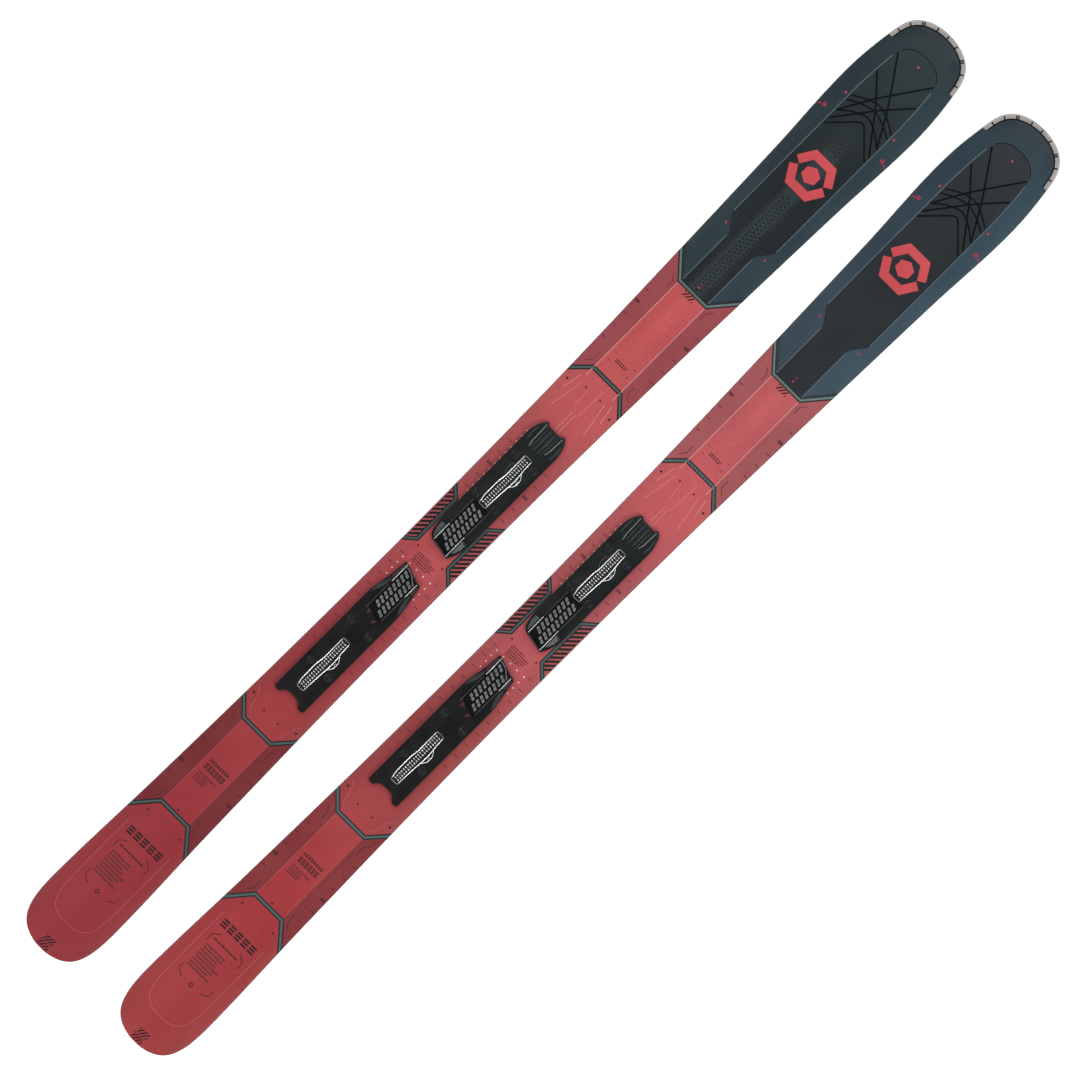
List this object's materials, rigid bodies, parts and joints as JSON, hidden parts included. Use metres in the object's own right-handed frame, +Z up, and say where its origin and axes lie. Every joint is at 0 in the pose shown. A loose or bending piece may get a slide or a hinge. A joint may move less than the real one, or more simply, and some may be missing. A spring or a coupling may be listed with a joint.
{
  "type": "alpine skis",
  "caption": "Alpine skis with rockered tips and screwed-on binding tracks: toe and heel plates that carry slotted steel racks and chequered grip pads.",
  "frame": {"origin": "on the ground, midway between the two skis and midway along them", "axes": "+Z up, +Y towards the tips, +X to the skier's right; the soles rest on z = 0"},
  "size_m": [0.3274, 1.815, 0.0639],
  "materials": {
    "sole": "satin sintered polyethylene",
    "edge_steel": "ground",
    "laminate_metal": "rolled sheet",
    "core_wood": "planed strips",
    "spacer_plastic": "moulded",
    "sidewall_plastic": "milled",
    "topsheet_print": "satin print under clear film",
    "guard_plastic": "moulded, satin",
    "track_plastic": "fine moulded grain",
    "rack_steel": "stamped and polished",
    "pad_rubber": "matt",
    "frame_steel": "bright",
    "screw_steel": "blackened"
  },
  "bodies": {
    "left_ski": {"left_running_base_rear": "sole", "left_running_base_middle": "sole", "left_running_base_front": "sole", "left_steel_edge_left": "edge_steel", "left_steel_edge_right": "edge_steel", "left_lower_laminate": "laminate_metal", "left_wood_core": "core_wood", "left_tip_spacer": "spacer_plastic", "left_tail_spacer": "spacer_plastic", "left_sidewall_left": "sidewall_plastic", "left_sidewall_right": "sidewall_plastic", "left_upper_laminate": "laminate_metal", "left_topsheet": "topsheet_print", "left_tip_guard": "guard_plastic", "left_toe_track": "track_plastic", "left_toe_rack": "rack_steel", "left_toe_grip_pad": "pad_rubber", "left_toe_pad_frame": "frame_steel", "left_toe_screw_rear_left": "screw_steel", "left_toe_screw_rear_right": "screw_steel", "left_toe_screw_front_left": "screw_steel", "left_toe_screw_front_right": "screw_steel", "left_heel_track": "track_plastic", "left_heel_rack": "rack_steel", "left_heel_grip_pad": "pad_rubber", "left_heel_pad_frame": "frame_steel", "left_heel_screw_rear_left": "screw_steel", "left_heel_screw_rear_right": "screw_steel", "left_heel_screw_front_left": "screw_steel", "left_heel_screw_front_right": "screw_steel"},
    "right_ski": {"right_running_base_rear": "sole", "right_running_base_middle": "sole", "right_running_base_front": "sole", "right_steel_edge_left": "edge_steel", "right_steel_edge_right": "edge_steel", "right_lower_laminate": "laminate_metal", "right_wood_core": "core_wood", "right_tip_spacer": "spacer_plastic", "right_tail_spacer": "spacer_plastic", "right_sidewall_left": "sidewall_plastic", "right_sidewall_right": "sidewall_plastic", "right_upper_laminate": "laminate_metal", "right_topsheet": "topsheet_print", "right_tip_guard": "guard_plastic", "right_toe_track": "track_plastic", "right_toe_rack": "rack_steel", "right_toe_grip_pad": "pad_rubber", "right_toe_pad_frame": "frame_steel", "right_toe_screw_rear_left": "screw_steel", "right_toe_screw_rear_right": "screw_steel", "right_toe_screw_front_left": "screw_steel", "right_toe_screw_front_right": "screw_steel", "right_heel_track": "track_plastic", "right_heel_rack": "rack_steel", "right_heel_grip_pad": "pad_rubber", "right_heel_pad_frame": "frame_steel", "right_heel_screw_rear_left": "screw_steel", "right_heel_screw_rear_right": "screw_steel", "right_heel_screw_front_left": "screw_steel", "right_heel_screw_front_right": "screw_steel"}
  },
  "joints": [
    {"name": "right_ski_glide", "type": "slide", "parent": "left_ski", "child": "right_ski", "axis": [0, 1, 0], "range_m": [-0.3, 0.3]}
  ]
}
